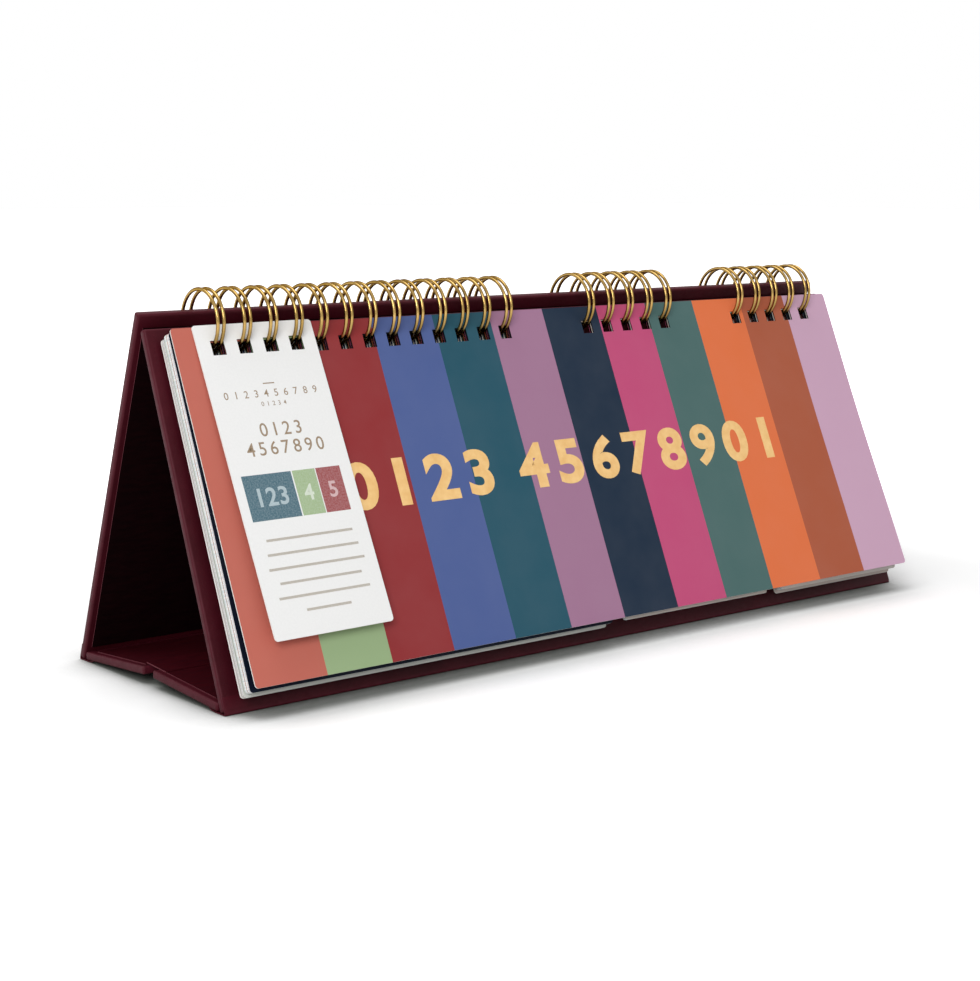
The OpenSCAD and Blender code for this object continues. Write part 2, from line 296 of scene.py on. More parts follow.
# %% Make the wire's finish
def make_gold_wire():
    finish, tree, shader = new_finish("gold_wire_lacquer")
    place = own_place(tree)
    marks = speckle(tree, place, 1800, 4)
    share = stretch(tree, speckle(tree, place, 90, 2), 0.35, 0.65)
    tone = blend_colours(tree, share, colour("937844"), colour("AE9058"))
    fill(tree, shader, {"Base Color": tone, "Metallic": 1.0})
    fill(tree, shader, {"Specular Tint": (0.16, 0.08, 0.03, 1)})
    vary_roughness(tree, shader, marks, 0.14, 0.26)
    raise_grain(tree, shader, marks, 0.006, 0.4)
    return finish

gold_wire = make_gold_wire()
print("made", gold_wire.name)

# %% [markdown]
# ## Card and leaf stock
# Every card is white board with ink on its faces, so its cut edge stays pale
# whatever is printed on it. One recipe makes them all: the face colour is
# given, the edge is found from the direction in which the surface faces in the
# card's own axes, and very fine fibres and a satin coating do the rest. The
# walls of the punched holes are painted near black: painted shade, as little
# light gets into them.

# %% Write the card recipe
def card_finish(name, face_of, edge_code, rough=0.42):
    """Printed card. face_of(tree, place) gives the printed face's colour."""
    finish, tree, shader = new_finish(name)
    place = own_place(tree)
    face = face_of(tree, place)
    tint = stretch(tree, speckle(tree, place, 45, 3), 0.35, 0.65, 0.0, 0.01)
    face = blend_colours(tree, tint, face, colour("FFFFFF"))
    strands = fibres(tree, place, 700, 2600, 4)
    share = stretch(tree, strands, 0.35, 0.65)
    edge = blend_colours(tree, share, colour(edge_code), colour("F4F2EE"))
    # Hole walls, which lack the rim mark, get a near-black painted shade.
    rim = add(tree, "ShaderNodeAttribute", attribute_name="rim").outputs["Fac"]
    edge = blend_colours(tree, rim, colour("120E0C"), edge)
    base = blend_colours(tree, cut_edge_mask(tree, "Y"), edge, face)
    fill(tree, shader, {"Base Color": base, "Specular IOR Level": 0.1})
    raise_grain(tree, shader, strands, 0.005, 0.25)
    vary_roughness(tree, shader, strands, rough - 0.04, rough + 0.06)
    return finish

def plain_face(code):
    """A face that is printed all over in one ink."""

    def face_of(tree, place):
        grain = stretch(tree, speckle(tree, place, 1500, 3), 0.4, 0.6, 0.0, 0.02)
        return blend_colours(tree, grain, colour(code), colour("101010"))

    return face_of

label_stock = card_finish("label_stock_white", plain_face("EAEAE9"), "E4E2DE", 0.55)
print("made", label_stock.name)

# %% [markdown]
# ## The cover's stripes
# The cover has twelve upright stripes with hard edges. They could be twelve
# thin pieces, but the ink has no thickness to speak of. So one colour ramp
# with constant steps runs across the width of the card.

# %% Print the cover's stripes
CORAL, SAGE, RED, BLUE = "BC685A", "97AE83", "8C3335", "4E5F93"
TEAL, MAUVE, NAVY, PINK = "275262", "9F7591", "1B2B3E", "BE4F78"
GREEN, ORANGE, RUST, LILAC = "4B6967", "DE7346", "A95A40", "C9A3BB"
STRIPES = [CORAL, SAGE, RED, BLUE, TEAL, MAUVE, NAVY, PINK, GREEN, ORANGE, RUST, LILAC]
COVER_W = 263.6

def striped_face(tree, place):
    """Twelve equal upright stripes across the width of the cover."""
    across = add(tree, "ShaderNodeSeparateXYZ", {0: place}).outputs["X"]
    share = stretch(tree, across, -COVER_W / 2 * MM, COVER_W / 2 * MM)
    ramp = add(tree, "ShaderNodeValToRGB", {"Fac": share})
    ramp.color_ramp.interpolation = "CONSTANT"
    stops = ramp.color_ramp.elements
    while len(stops) < len(STRIPES):
        stops.new(0.5)
    for i, code in enumerate(STRIPES):
        stops[i].position = i / len(STRIPES)
        stops[i].color = colour(code)
    return ramp.outputs["Color"]

cover_stock = card_finish("cover_stock_striped", striped_face, "D9D4CE")
print("made", cover_stock.name, "with", len(STRIPES), "stripes")

# %% [markdown]
# ## Inks and foil
# Numbers on the leaves are flat ink. The band across the cover is hot foil:
# a metal film pressed into the card, smoother than the card around it.

# %% Make the inks and the foil
def make_ink(name, code, rough=0.5):
    finish, tree, shader = new_finish(name)
    place = own_place(tree)
    grain = stretch(tree, speckle(tree, place, 2200, 3), 0.35, 0.65, 0.0, 0.12)
    base = blend_colours(tree, grain, colour(code), colour("FFFFFF"))
    fill(tree, shader, {"Base Color": base, "Roughness": rough})
    return finish

def make_foil():
    finish, tree, shader = new_finish("gold_foil_print")
    place = own_place(tree)
    ripple = speckle(tree, place, 300, 4)
    share = stretch(tree, ripple, 0.35, 0.65)
    base = blend_colours(tree, share, colour("E7B874"), colour("F0C888"))
    fill(tree, shader, {"Base Color": base, "Metallic": 0.45})
    vary_roughness(tree, shader, ripple, 0.38, 0.5)
    raise_grain(tree, shader, speckle(tree, place, 1600, 3), 0.006, 0.4)
    return finish

gold_foil = make_foil()
print("made", gold_foil.name)

# %% [markdown]
# ## A punched sheet
# Cards and boards are one shape: a flat sheet with a row of square holes. A
# cutter such as a Boolean would do it, but it leaves long thin triangles that
# shade badly. Here the sheet is a lattice whose lines run along the holes'
# edges, the cells in the holes are left out, and front, rear and walls are
# plain four-sided faces. Round corners come from moving the end of each line.

# %% Write the sheet maker
def lattice_lines(ends, needed, step):
    """Sorted line places: the needed ones, with others at most step apart."""
    fixed = sorted({round(v, 5) for v in [*ends, *needed]})
    lines = [fixed[0]]
    for here, there in zip(fixed, fixed[1:]):
        parts = max(1, math.ceil((there - here) / step))
        lines += [here + (there - here) * k / parts for k in range(1, parts + 1)]
    return lines

def punched_sheet(w, h, t, holes, corner=0.0, step=9.0, bend=None):
    """A bmesh of a sheet that hangs down from z = 0 with its front at y = 0.
    holes are (left, right, top, bottom). Also gives the outer rim's faces."""
    bend = bend or (lambda x, z: 0.0)
    arc = [corner * (1 - math.cos(math.radians(a))) for a in range(0, 91, 15)]
    xs = [s * (w / 2 - d) for s in (-1, 1) for d in arc]
    xs += [v for q in holes for v in q[:2]]
    first_row = max(corner * 1.25, 0.9)
    zs = [-first_row, first_row - h] + [v for q in holes for v in q[2:]]
    xs = lattice_lines((-w / 2, w / 2), xs, step)
    zs = lattice_lines((-h, 0), zs, step)
    n, m = len(xs), len(zs)

    def corner_drop(x):
        inside = corner - (w / 2 - abs(x))
        if 0 < inside <= corner:
            return corner - math.sqrt(corner**2 - inside**2)
        return 0.0

    def in_hole(x, z):
        return any(a < x < b and d < z < c for a, b, c, d in holes)

    bm = bmesh.new()
    # The rim mark is 1 on the outer walls; the card finish paints the hole walls with
    # painted shade.
    outer = bm.faces.layers.float.new("rim")
    grid = {}
    for i, x in enumerate(xs):
        for j, z in enumerate(zs):
            drop = corner_drop(x)
            flat_z = z + drop if j == 0 else z - drop if j == m - 1 else z
            for side in (0, 1):
                y = side * t + bend(x, flat_z)
                grid[i, j, side] = bm.verts.new((x * MM, y * MM, flat_z * MM))
    kept = {
        (i, j)
        for i in range(n - 1)
        for j in range(m - 1)
        if not in_hole((xs[i] + xs[i + 1]) / 2, (zs[j] + zs[j + 1]) / 2)
    }
    rim = []
    for i, j in sorted(kept):
        ring = [(i, j), (i + 1, j), (i + 1, j + 1), (i, j + 1)]
        bm.faces.new([grid[p[0], p[1], 0] for p in ring])
        bm.faces.new([grid[p[0], p[1], 1] for p in reversed(ring)])
        beside = [(i, j - 1), (i + 1, j), (i, j + 1), (i - 1, j)]
        for k, cell in enumerate(beside):
            if cell in kept:
                continue
            p, q = ring[k], ring[(k + 1) % 4]
            wall = bm.faces.new([grid[*q, 0], grid[*p, 0], grid[*p, 1], grid[*q, 1]])
            if not (0 <= cell[0] < n - 1 and 0 <= cell[1] < m - 1):
                wall[outer] = 1.0
                rim.append(wall)
    loose = [v for v in bm.verts if not v.link_faces]
    bmesh.ops.delete(bm, geom=loose, context="VERTS")
    return bm, rim

print("sheets can be punched")

# %% Write the helpers that place a piece
def make_piece(name, bm, place, finish, smooth_angle=35):
    """Turn a bmesh into an object that stands at place and has one finish."""
    mesh = bpy.data.meshes.new(name)
    bm.normal_update()
    bm.to_mesh(mesh)
    bm.free()
    mesh.shade_smooth()
    mesh.set_sharp_from_angle(angle=math.radians(smooth_angle))
    mesh.materials.append(finish)
    piece = bpy.data.objects.new(name, mesh)
    bpy.context.scene.collection.objects.link(piece)
    piece.matrix_world = place
    return piece

def join_frame(piece, body, slot, *nodes):
    """Say what the piece rides on and what it stands for. Its slot is not used."""
    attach(piece, body)
    if nodes:
        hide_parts(*nodes)

def hole_row(places, drop, high, centre_x=0.0):
    """Holes, as (left, right, top, bottom) in the sheet's own axes."""
    half = HOLE_SIZE / 2
    holes = []
    for place in places:
        x = hole_x(place) - centre_x
        holes.append((x - half, x + half, high / 2 - drop, -high / 2 - drop))
    return holes

print("pieces can be placed and joined to the frame")

# %% [markdown]
# ## The four covered boards
# Each board is grey board wrapped in book cloth, so its long edges and ends
# are soft, not sharp. The sheet maker gives the board with its holes, and a
# bevel along the rim gives the roundness. The rim also gets a pale edge value,
# so that the cloth is paler where it is stretched and carries a painted
# highlight along its rounded edges.

# %% Write the covered board
BOARD_W = 272
BOARD_T = 2.4
BOARD_ROUND = 0.72
WORN_AND_LIT_EDGE = 0.9

def covered_board(name, height, holes, place, body, node):
    """A board with rounded edges, and cloth that is paler along them: worn, and with a
    painted highlight.
    """
    bm, rim = punched_sheet(BOARD_W, height, BOARD_T, holes, step=12)
    walls = set(rim)
    edges = {e for f in rim for e in f.edges}
    round_edges = [
        e
        for e in edges
        if sum(f in walls for f in e.link_faces) == 1
        or e.calc_face_angle(0.0) > math.radians(60)
    ]
    bmesh.ops.bevel(
        bm,
        geom=round_edges,
        offset=BOARD_ROUND * MM,
        segments=4,
        profile=0.55,
        affect="EDGES",
        clamp_overlap=True,
    )
    # Pale rim value: the cloth's wear and a painted highlight, fading inward from each
    # edge.
    layer = bm.verts.layers.float.new("wear_and_highlight")
    for v in bm.verts:
        ends = BOARD_W / 2 - abs(v.co.x / MM)
        top, low = -v.co.z / MM, height + v.co.z / MM
        v[layer] = max(0.0, 1 - min(ends, top, low) / WORN_AND_LIT_EDGE)
    piece = make_piece(name, bm, place, leatherette, 50)
    join_frame(piece, body, "leatherette", node)

print("boards are", BOARD_W, "mm long and", BOARD_T, "mm thick")

# %% [markdown]
# ## The two boards that stand
# Both boards lean about the middle of the loops, and the wire passes through
# them on its round way. Their holes could be copied from the cards, but the
# wire crosses each board at its own slope. So each board's holes are found
# from where the loops enter its face and leave its back.

# %% Stand the two tall boards
FRONT_LEAN, BACK_LEAN = 20.8, -19.6
APEX_GAP = 0.35
FRONT_DEPTH = 2.3
BACK_DEPTH = FRONT_DEPTH + BOARD_T + APEX_GAP
FRONT_TOP, BACK_TOP = -0.56, 0.63
FOOT_T = 0.3
WIRE_CLEAR = 0.2

def board_holes(depth, top):
    """Holes of a board whose face lies at this depth behind the loops' centre."""
    inner, outer = LOOP_R - WIRE_D / 2, LOOP_R + WIRE_D / 2
    upper = math.sqrt(inner**2 - (depth + BOARD_T) ** 2)
    lower = math.sqrt(outer**2 - depth**2)
    high = max(HOLE_SIZE, lower - upper + 2 * WIRE_CLEAR)
    drop = (upper + lower) / 2 + top
    # Rounded, so that the cloth's hole walls don't lie exactly on the grey board's
    return hole_row(ALL_PLACES, round(drop, 3), round(high, 3))

def foot_end(lean, lowest_depth):
    """Where a board ends: its lowest edge meets the cloth on the desk."""
    tilt = math.radians(lean)
    return -(LOOP_HEIGHT - FOOT_T - lowest_depth * math.sin(tilt)) / math.cos(tilt)

FRONT_BOTTOM = foot_end(FRONT_LEAN, FRONT_DEPTH + BOARD_T)
BACK_BOTTOM = foot_end(BACK_LEAN, BACK_DEPTH)

def tall_board(name, lean, depth, top, bottom, body, node):
    """A board that leans about the loops' centre, with holes for the wire."""
    place = leaning(lean) @ shift(0, depth, top)
    covered_board(name, top - bottom, board_holes(depth, top), place, body, node)
    print(name, "is", round(top - bottom, 1), "mm high")

FRONT = (FRONT_LEAN, FRONT_DEPTH, FRONT_TOP, FRONT_BOTTOM)
BACK = (BACK_LEAN, BACK_DEPTH, BACK_TOP, BACK_BOTTOM)
tall_board("front_board_cloth", *FRONT, "easel_front", "front_skin")
tall_board("back_board_cloth", *BACK, "easel_back", "back_skin")

# %% [markdown]
# ## The two halves of the base
# Between the tall boards lies a base in two halves, which rises a little
# towards its middle crease. Each half could be placed by eye, but it has to
# meet its tall board at the hinge line. So both start from the points where
# the boards' inner faces are at the hinge's height.

# %% Lay the base
FOLD_CLEAR = 0.15
CREASE_GAP = 5
CREASE_RISE = 2.9
HINGE_Z = FOOT_T + FOLD_CLEAR + BOARD_T
ON_ITS_BACK = Matrix.Rotation(math.radians(90), 4, "X")

def face_y(lean, depth, height):
    """Y of a board's face at this height above the desk."""
    tilt = math.radians(lean)
    up = (height - LOOP_HEIGHT + depth * math.sin(tilt)) / math.cos(tilt)
    return LOOP_Y + depth * math.cos(tilt) + up * math.sin(tilt)

FRONT_HINGE_Y = face_y(FRONT_LEAN, FRONT_DEPTH + BOARD_T, HINGE_Z)
BACK_HINGE_Y = face_y(BACK_LEAN, BACK_DEPTH, HINGE_Z)
HALF_SPAN = (BACK_HINGE_Y - FRONT_HINGE_Y) / 2
BASE_SLOPE = math.atan2(CREASE_RISE + BOARD_T - HINGE_Z, HALF_SPAN)
BASE_LEN = HALF_SPAN / math.cos(BASE_SLOPE) - CREASE_GAP / 2 - 2 * FOLD_CLEAR

def base_frame(hinge_y, slope, turn):
    """Frame of a base half: Y runs from its hinge line to the middle crease."""
    facing = Matrix.Rotation(math.radians(turn), 4, "Z")
    return shift(0, hinge_y, HINGE_Z) @ Matrix.Rotation(slope, 4, "X") @ facing

FRONT_HALF = base_frame(FRONT_HINGE_Y, BASE_SLOPE, 0)
BACK_HALF = base_frame(BACK_HINGE_Y, -BASE_SLOPE, 180)
for half, body in ((FRONT_HALF, "base_front"), (BACK_HALF, "base_back")):
    place = half @ shift(0, 2 * FOLD_CLEAR, -BOARD_T) @ ON_ITS_BACK
    covered_board(f"{body}_cloth", BASE_LEN, [], place, body, f"{body}_skin")
print("the base's halves are", round(BASE_LEN, 1), "mm deep")

# %% [markdown]
# ## Where the cloth turns a corner
# Between two boards the cloth alone is the hinge. It comes down a board's
# face, turns under its foot and runs on beneath the base, where it is glued.
# A strip that is stiff all over would tear away when the easel folds. This one
# is built in place as a single piece, and it is not joined to a moving body.

# %% Write the strip of cloth
def rounded_path(points, radii, steps=6):
    """Replace each inner corner of a path by a curve of about that radius."""
    out = [Vector(points[0])]
    for before, here, after, r in zip(points, points[1:], points[2:], radii):
        here = Vector(here)
        a, b = Vector(before) - here, Vector(after) - here
        cut = min(r, a.length * 0.48, b.length * 0.48)
        start, end = here + a.normalized() * cut, here + b.normalized() * cut
        for k in range(steps + 1):
            s = k / steps
            out.append(start * (1 - s) ** 2 + here * 2 * s * (1 - s) + end * s**2)
    out.append(Vector(points[-1]))
    return out

def cloth_strip(name, path, width, thick, place, finish, wear_and_highlight_at):
    """Sweep a (y, z) path along X as cloth that lies on one side of the path.
    A negative thickness puts the cloth on the other side."""
    bm = bmesh.new()
    layer = bm.verts.layers.float.new("wear_and_highlight")
    rings = []
    spans = lattice_lines((-width / 2, width / 2), [-width / 2 + 1, width / 2 - 1], 12)
    for i, p in enumerate(path):
        ahead = path[min(i + 1, len(path) - 1)] - path[max(i - 1, 0)]
        side = Vector((-ahead.y, ahead.x)).normalized() * thick
        row = []
        for x in spans:
            pair = []
            for q in (p, p + side):
                v = bm.verts.new((x * MM, q.x * MM, q.y * MM))
                # The strip's ends and its toe are paler: cloth wear and a painted
                # highlight.
                rim = max(0.0, 1 - (width / 2 - abs(x)) / WORN_AND_LIT_EDGE)
                v[layer] = max(rim * 0.8, wear_and_highlight_at(q.x, q.y))
                pair.append(v)
            row.append(pair)
        rings.append(row)
    n, m = len(rings), len(spans)
    for i in range(n - 1):
        for j in range(m - 1):
            a, b = rings[i][j], rings[i][j + 1]
            d, c = rings[i + 1][j], rings[i + 1][j + 1]
            bm.faces.new((a[0], b[0], c[0], d[0]))
            bm.faces.new((d[1], c[1], b[1], a[1]))
    for i in range(n - 1):
        for j, order in ((0, 1), (m - 1, -1)):
            a, d = rings[i][j], rings[i + 1][j]
            bm.faces.new((a[0], d[0], d[1], a[1])[::order])
    for j in range(m - 1):
        for i, order in ((0, -1), (n - 1, 1)):
            a, b = rings[i][j], rings[i][j + 1]
            bm.faces.new((a[0], b[0], b[1], a[1])[::order])
    bmesh.ops.recalc_face_normals(bm, faces=bm.faces)
    return make_piece(name, bm, place, finish, 50)

print("strip of cloth ready")

# %% Turn the cloth under the feet
CLOTH_T = 0.3
CLOTH_PROUD = 0.03
CLOTH_UP = 4
DESK_GAP = 0.02
TOE_ROUND = 0.55
GLUED_FROM = 2.2
GLUED_TO = 4.6
BURIED_END = 0.5
LET_IN = 0.06
ENDS_BACK = 0.15
LEAVES_DESK, MEETS_BASE = 1.0, 1.5
TOE_CLEAR, WORN_AND_LIT_TOE = 1.6, 1.2
CORNER_RADII = [1.2, 0.9, 1.5, 2.0]

def side_point(frame_of, y, z):
    """Where a point of a frame is, seen from the calendar's end."""
    spot = frame_of @ Vector((0, y * MM, z * MM))
    return (spot.y / MM, spot.z / MM)

def hinge_cloth(name, lean, outer_depth, bottom, inward, half, node):
    """Cloth from a board's outer face, under its foot and under the base."""
    board = leaning(lean)
    proud = CLOTH_PROUD * (-1 if lean > 0 else 1)
    foot = side_point(board, outer_depth + proud, bottom)
    start = side_point(board, outer_depth + proud, bottom + CLOTH_UP)
    toe_y = foot[0] - foot[1] * math.tan(math.radians(lean)) * TOE_ROUND
    under_y, under_z = side_point(half, GLUED_FROM, -BOARD_T - DESK_GAP)
    reach_y, reach_z = side_point(half, GLUED_TO, -BOARD_T + BURIED_END)
    path = [
        start,
        foot,
        (toe_y, DESK_GAP),
        (under_y - inward * LEAVES_DESK, DESK_GAP),
        (under_y + inward * MEETS_BASE, under_z - CLOTH_T + LET_IN),
        (reach_y, reach_z - CLOTH_T + LET_IN),
    ]

    # The rounded toe is paler where it turns: wear and a painted highlight.
    def toe_wear_and_highlight(y, z):
        if abs(y - toe_y) < WORN_AND_LIT_TOE:
            return max(0.0, 1 - abs(z - 0.5) / WORN_AND_LIT_EDGE)
        return 0.0

    strip = cloth_strip(
        name,
        rounded_path(path, CORNER_RADII),
        BOARD_W - 2 * ENDS_BACK,
        CLOTH_T * inward,
        UPRIGHT,
        leatherette,
        toe_wear_and_highlight,
    )
    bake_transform(strip)
    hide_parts(node)

hinge_cloth(
    "front_foot_hinge",
    FRONT_LEAN,
    FRONT_DEPTH,
    FRONT_BOTTOM,
    1,
    FRONT_HALF,
    "front_crease",
)
hinge_cloth(
    "rear_foot_hinge",
    BACK_LEAN,
    BACK_DEPTH + BOARD_T,
    BACK_BOTTOM,
    -1,
    BACK_HALF,
    "rear_crease",
)
print("two feet turned")

# %% [markdown]
# ## The double-loop wire
# Each length is one single wire: up and over as a loop, round a narrow hairpin
# at the tip, back over as the second loop, and along to the next hole. A row
# of rings would look right from afar, but the eye follows real wire through
# its bends. So the wire is drawn flat first, as a path across an unrolled
# sheet, then rolled round the loops' centre, and a round section is swept
# along it. The two loops of a pair draw together towards the hairpin, and the
# closing press has left them a hair tighter over the top than at the back.

# %% Draw the wire flat and roll it
ROOT_GAP = 2.65
TIP_GAP = 1.7
TIP_TURN = 360 + 11.53
LINK_TURN = 35.22
LINK_BEND = 1.1
END_PAST = 0.2
LEG_STEPS = 64
TIP_STEPS = 12
BEND_STEPS = 6
PRESSED = 0.28
PRESSED_FROM, PRESSED_TO = 60, 120

def flat_legs(link, tip):
    """Half the gap between a pair's two loops, all the way along them."""
    legs = []
    for k in range(LEG_STEPS + 1):
        s = k / LEG_STEPS
        half_gap = (ROOT_GAP + (TIP_GAP - ROOT_GAP) * smooth_step(s, 0, 1)) / 2
        legs.append((half_gap, link + LINK_BEND + (tip - link - LINK_BEND) * s))
    return legs

def flat_link(left, right, link):
    """The two bends of a link, from one pair to the next."""
    bend = []
    for k in range(1, BEND_STEPS + 1):
        a = math.pi / 2 * k / BEND_STEPS
        bend.append((LINK_BEND * (1 - math.cos(a)), link + LINK_BEND * (1 - math.sin(a))))
    there = [(left + off, u) for off, u in bend]
    return there + [(right - off, u) for off, u in reversed(bend)]

def flat_wire(places):
    """The wire's path on the unrolled sheet: (across, along the loop), in mm."""
    tip = math.radians(TIP_TURN) * LOOP_R
    link = math.radians(LINK_TURN) * LOOP_R
    legs = flat_legs(link, tip)
    path = [(hole_x(places[0]) - ROOT_GAP / 2, link - END_PAST)]
    for n, place in enumerate(places):
        x = hole_x(place)
        path += [(x - g, u) for g, u in legs]
        for k in range(1, TIP_STEPS):
            a = math.pi * k / TIP_STEPS
            across, on = TIP_GAP / 2 * math.cos(a), TIP_GAP / 2 * math.sin(a)
            path.append((x - across, tip + on))
        path += [(x + g, u) for g, u in reversed(legs)]
        if n < len(places) - 1:
            next_x = hole_x(places[n + 1])
            path += flat_link(x + ROOT_GAP / 2, next_x - ROOT_GAP / 2, link)
    path.append((hole_x(places[-1]) + ROOT_GAP / 2, link - END_PAST))
    return path

def rolled(path):
    """Roll the flat path round the line through the loops' centre."""
    spots = []
    for x, u in path:
        turn = u / LOOP_R
        r = LOOP_R - PRESSED * smooth_step(math.degrees(turn), PRESSED_FROM, PRESSED_TO)
        y, z = LOOP_Y + r * math.sin(turn), LOOP_HEIGHT - r * math.cos(turn)
        spots.append(Vector((x, y, z)))
    return spots

print("one loop is drawn with", len(flat_legs(0, 1)), "points")

# %% Sweep the wire
WIRE_SIDES = 14
END_DOME = 0.25

def sweep_round(bm, spots, radius, sides):
    """A round bar along a path, with slightly domed ends."""
    heading = (spots[1] - spots[0]).normalized()
    across = heading.cross(Vector((1, 0.3, 0.2))).normalized()
    rings = []
    for i, spot in enumerate(spots):
        ahead = (spots[min(i + 1, len(spots) - 1)] - spots[max(i - 1, 0)]).normalized()
        across = (across - ahead * across.dot(ahead)).normalized()
        other = ahead.cross(across)
        ring = []
        for k in range(sides):
            a = 2 * math.pi * k / sides
            out = across * math.cos(a) + other * math.sin(a)
            ring.append(bm.verts.new((spot + out * radius) * MM))
        rings.append(ring)
    for first, second in zip(rings, rings[1:]):
        for k in range(sides):
            n = (k + 1) % sides
            bm.faces.new((first[k], first[n], second[n], second[k]))
    for end, inner in ((0, 1), (-1, -2)):
        ring, spot = rings[end], spots[end]
        outward = (spot - spots[inner]).normalized()
        cap = bm.verts.new((spot + outward * radius * END_DOME) * MM)
        for k in range(sides):
            pair = (ring[k], ring[(k + 1) % sides])
            bm.faces.new((*(pair if end == -1 else pair[::-1]), cap))

for node, places in (
    ("month_wire", MONTH_PLACES),
    ("tens_wire", TENS_PLACES),
    ("ones_wire", ONES_PLACES),
):
    bm = bmesh.new()
    spots = rolled(flat_wire(places))
    sweep_round(bm, spots, WIRE_D / 2, WIRE_SIDES)
    wire = make_piece(node + "_bent", bm, UPRIGHT, gold_wire, 70)
    join_frame(wire, "easel_front", "gold_wire", node)
    length = sum((b - a).length for a, b in zip(spots, spots[1:]))
    print(node, "is", round(length / 1000, 2), "m of wire")

# %% [markdown]
# ## The leaves
# There are twelve month leaves, four for the tens and ten for the ones. A
# stack of evenly spaced sheets would look like a comb. Loose leaves cling
# together in bundles instead, with a dark gap between one bundle and the next,
# so each leaf is drawn to its bundle. It also sits a hair to one side, and its
# cut edge has its own shade of white.

# %% Hang the leaves
LEAF_H, LEAF_T, LEAF_CORNER = 98.5, 0.27, 1.0
LEAF_PITCH = 0.32
LEAF_RISE = 0.03
LEAF_STRAY = 0.07
EDGE_TINTS = (0.0, 0.25, 0.1, 0.35, 0.05, 0.2)
# Leaf 1's face is a navy darkened to near black: painted shade from the cover that hangs
# just in front of it.
NAVY_IN_PAINTED_SHADE, CHALK, STONE, CLAY = "0C1424", "CACCC7", "D6D2CB", "C6BDB6"
# First and last leaf, depth of the first, lean, place sideways, cut edge
BUNDLES = (
    (1, 8, 3.24, 22.5, 0.0, "C9D6DA"),
    (9, 10, 0.45, 22.3, -0.12, "E9E2D2"),
    (11, 12, -0.47, 22.1, -0.25, "EADDDD"),
)
MONTH_FACES = [NAVY_IN_PAINTED_SHADE, PINK, GREEN, ORANGE, RUST, LILAC]
MONTH_FACES += [CORAL, SAGE, CHALK, BLUE, STONE, MAUVE]
TENS_FACES = [CLAY, ORANGE, TEAL, PINK]
ONES_FACES = [STONE, BLUE, ORANGE, TEAL, LILAC, GREEN, PINK, CORAL, CLAY, SAGE]
rng = random.Random(20)
leaf_frames = {}

def leaf_place(slot, centre_x):
    """Frame of a leaf's front top edge, and the shade of its bundle's paper.
    Slot 1 is right behind the cover."""
    bundle = next(b for b in BUNDLES if slot <= b[1])
    first, _, depth, lean, aside, shade = bundle
    top = card_top(depth, LEAF_T, LEAF_HOLE_INSET) - LEAF_RISE * (slot - first)
    depth -= LEAF_PITCH * (slot - first)
    return leaning(lean) @ shift(centre_x + aside, -depth, -top), shade

def hang_block(kind, places, width, faces):
    """One leaf for each face colour, all on the same loops."""
    centre = (hole_x(places[0]) + hole_x(places[-1])) / 2
    for i, ground in enumerate(faces, start=1):
        node = f"{kind}_leaf_{i}"
        aside = rng.uniform(-LEAF_STRAY, LEAF_STRAY)
        holes = hole_row(places, LEAF_HOLE_INSET, HOLE_SIZE, centre)
        bm, _ = punched_sheet(width, LEAF_H, LEAF_T, holes, LEAF_CORNER, step=14)
        place, shade = leaf_place(i, centre)
        shade = paler(shade, EDGE_TINTS[i % len(EDGE_TINTS)])
        stock = card_finish(f"{node}_stock", plain_face(ground), shade)
        place = place @ shift(aside, 0, 0)
        leaf = make_piece(f"{node}_card", bm, place, stock)
        join_frame(leaf, f"{kind}_{i}", f"{kind}_leaf_stock", node)
        leaf_frames[node] = (place, f"{kind}_{i}", ground)

hang_block("month", MONTH_PLACES, 129.2, MONTH_FACES)
hang_block("tens", TENS_PLACES, 63.2, TENS_FACES)
hang_block("ones", ONES_PLACES, 58.0, ONES_FACES)
print("hung", len(leaf_frames), "leaves")

# %% [markdown]
# ## Plain numerals
# Every number here is a real, very thin piece of ink or foil lying on its
# card. Blender's text objects give the outlines of the digits; they are made
# heavier with the curve's own offset, turned into meshes, scaled to an exact
# height and set side by side at an even pitch.

# %% Write the maker of numerals
DIGIT_HALF_T = 0.01

def digit_outline(digit, weight):
    """Mesh of one digit, 1 high and centred in the XY plane, from z -1 to 1."""
    curve = bpy.data.curves.new("digit", "FONT")
    curve.body = digit
    curve.offset = weight
    curve.extrude = DIGIT_HALF_T
    curve.resolution_u = 6
    holder = bpy.data.objects.new("digit", curve)
    bpy.context.scene.collection.objects.link(holder)
    bpy.context.view_layer.update()
    mesh = bpy.data.meshes.new_from_object(holder)
    bpy.data.objects.remove(holder)
    bpy.data.curves.remove(curve)
    xs = [v.co.x for v in mesh.vertices]
    ys = [v.co.y for v in mesh.vertices]
    tall = max(ys) - min(ys)
    mid_x, mid_y = (max(xs) + min(xs)) / 2, (max(ys) + min(ys)) / 2
    for v in mesh.vertices:
        x, y = (v.co.x - mid_x) / tall, (v.co.y - mid_y) / tall
        v.co = (x, y, v.co.z / DIGIT_HALF_T)
    return mesh

digit_store = {}

